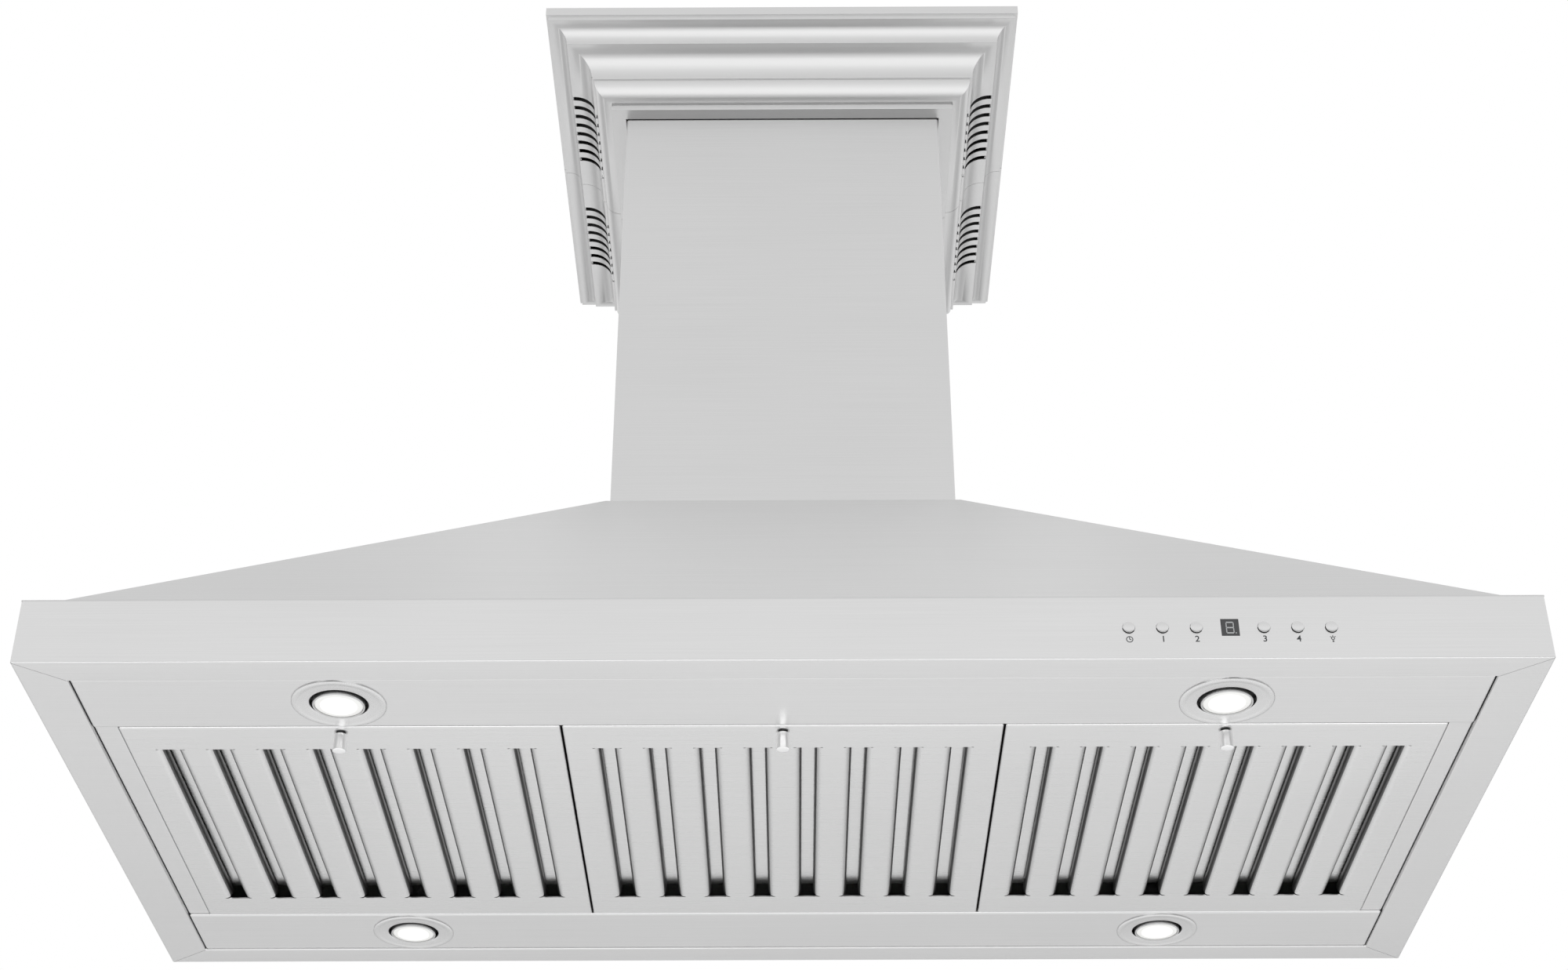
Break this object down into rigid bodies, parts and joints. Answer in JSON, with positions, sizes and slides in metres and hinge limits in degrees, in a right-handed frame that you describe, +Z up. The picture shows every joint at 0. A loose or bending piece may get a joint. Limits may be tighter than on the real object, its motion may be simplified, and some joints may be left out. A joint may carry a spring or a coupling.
{
  "type": "island range hood",
  "caption": "Island range hood with a low pyramid canopy, baffle filters, tilting lamps, push buttons and a square chimney under a stepped ceiling crown.",
  "frame": {"origin": "centre of the ceiling plane, where the ceiling bracket meets the ceiling", "axes": "+Z up, +X to the right seen from the controls, controls face -Y"},
  "size_m": [1.2, 0.6018, 0.7788],
  "materials": {
    "brushed_steel": "brushed",
    "filter_steel": "brushed",
    "galvanised": "rolled",
    "polished": "polished",
    "lamp_ring": "brushed",
    "lamp_metal": "satin",
    "lens": "frosted",
    "display": "smoked",
    "black_plastic": "moulded",
    "grey_plastic": "moulded",
    "motor_paint": "satin paint",
    "zinc": "zinc plated"
  },
  "bodies": {
    "root": {"canopy_skirt": "brushed_steel", "canopy_roof": "brushed_steel", "front_light_panel": "brushed_steel", "rear_light_panel": "brushed_steel", "side_strip_left": "brushed_steel", "side_strip_right": "brushed_steel", "filter_dividers": "galvanised", "lamp_trim_front_left": "lamp_ring", "lamp_trim_front_right": "lamp_ring", "lamp_trim_rear_left": "lamp_ring", "lamp_trim_rear_right": "lamp_ring", "chimney_cover": "brushed_steel", "crown_front": "brushed_steel", "crown_rear": "brushed_steel", "crown_fixings": "galvanised", "speaker_front_left": "black_plastic", "speaker_front_right": "black_plastic", "speaker_rear_left": "black_plastic", "speaker_rear_right": "black_plastic", "speaker_amplifier": "black_plastic", "ceiling_bracket": "galvanised", "support_posts": "galvanised", "lower_frame": "galvanised", "frame_bolts": "zinc", "blower_housing": "galvanised", "blower_motor": "motor_paint", "duct_collar": "galvanised", "damper_rod": "zinc", "control_box": "black_plastic", "control_display": "display", "junction_box": "grey_plastic", "led_driver": "black_plastic", "panel_screws": "zinc"},
    "filter_left": {"filter_tray_left": "filter_steel", "filter_baffles_left": "filter_steel", "filter_knob_left": "polished"},
    "filter_middle": {"filter_tray_middle": "filter_steel", "filter_baffles_middle": "filter_steel", "filter_knob_middle": "polished"},
    "filter_right": {"filter_tray_right": "filter_steel", "filter_baffles_right": "filter_steel", "filter_knob_right": "polished"},
    "lamp_front_left": {"lamp_head_front_left": "lamp_metal", "lamp_lens_front_left": "lens"},
    "lamp_front_right": {"lamp_head_front_right": "lamp_metal", "lamp_lens_front_right": "lens"},
    "lamp_rear_left": {"lamp_head_rear_left": "lamp_metal", "lamp_lens_rear_left": "lens"},
    "lamp_rear_right": {"lamp_head_rear_right": "lamp_metal", "lamp_lens_rear_right": "lens"},
    "push_1": {"button_1": "polished"},
    "push_2": {"button_2": "polished"},
    "push_3": {"button_3": "polished"},
    "push_4": {"button_4": "polished"},
    "push_5": {"button_5": "polished"},
    "push_6": {"button_6": "polished"},
    "wheel": {"blower_wheel": "galvanised"},
    "flap_front": {"damper_flap_front": "galvanised"},
    "flap_rear": {"damper_flap_rear": "galvanised"}
  },
  "joints": [
    {"name": "filter_left_drop", "type": "hinge", "parent": "root", "child": "filter_left", "pos_m": [0, 0.1885, -0.7628], "axis": [1, 0, 0], "range_deg": [0, 70]},
    {"name": "filter_middle_drop", "type": "hinge", "parent": "root", "child": "filter_middle", "pos_m": [0, 0.1885, -0.7628], "axis": [1, 0, 0], "range_deg": [0, 70]},
    {"name": "filter_right_drop", "type": "hinge", "parent": "root", "child": "filter_right", "pos_m": [0, 0.1885, -0.7628], "axis": [1, 0, 0], "range_deg": [0, 70]},
    {"name": "lamp_front_left_tilt", "type": "hinge", "parent": "root", "child": "lamp_front_left", "pos_m": [-0.355, -0.22975, -0.7598], "axis": [1, 0, 0], "range_deg": [-20, 20]},
    {"name": "lamp_front_right_tilt", "type": "hinge", "parent": "root", "child": "lamp_front_right", "pos_m": [0.355, -0.22975, -0.7598], "axis": [1, 0, 0], "range_deg": [-20, 20]},
    {"name": "lamp_rear_left_tilt", "type": "hinge", "parent": "root", "child": "lamp_rear_left", "pos_m": [-0.355, 0.22975, -0.7598], "axis": [1, 0, 0], "range_deg": [-20, 20]},
    {"name": "lamp_rear_right_tilt", "type": "hinge", "parent": "root", "child": "lamp_rear_right", "pos_m": [0.355, 0.22975, -0.7598], "axis": [1, 0, 0], "range_deg": [-20, 20]},
    {"name": "button_1_press", "type": "slide", "parent": "root", "child": "push_1", "axis": [0, 1, 0], "range_m": [0, 0.0015], "stiffness_N_per_m": 600},
    {"name": "button_2_press", "type": "slide", "parent": "root", "child": "push_2", "axis": [0, 1, 0], "range_m": [0, 0.0015], "stiffness_N_per_m": 600},
    {"name": "button_3_press", "type": "slide", "parent": "root", "child": "push_3", "axis": [0, 1, 0], "range_m": [0, 0.0015], "stiffness_N_per_m": 600},
    {"name": "button_4_press", "type": "slide", "parent": "root", "child": "push_4", "axis": [0, 1, 0], "range_m": [0, 0.0015], "stiffness_N_per_m": 600},
    {"name": "button_5_press", "type": "slide", "parent": "root", "child": "push_5", "axis": [0, 1, 0], "range_m": [0, 0.0015], "stiffness_N_per_m": 600},
    {"name": "button_6_press", "type": "slide", "parent": "root", "child": "push_6", "axis": [0, 1, 0], "range_m": [0, 0.0015], "stiffness_N_per_m": 600},
    {"name": "wheel_spin", "type": "hinge", "parent": "root", "child": "wheel", "pos_m": [0, 0, -0.4405], "axis": [1, 0, 0], "continuous": true},
    {"name": "flap_front_open", "type": "hinge", "parent": "root", "child": "flap_front", "pos_m": [0, 0, -0.2885], "axis": [-1, 0, 0], "range_deg": [0, 75]},
    {"name": "flap_rear_open", "type": "hinge", "parent": "root", "child": "flap_rear", "pos_m": [0, 0, -0.2885], "axis": [1, 0, 0], "range_deg": [0, 75]}
  ]
}
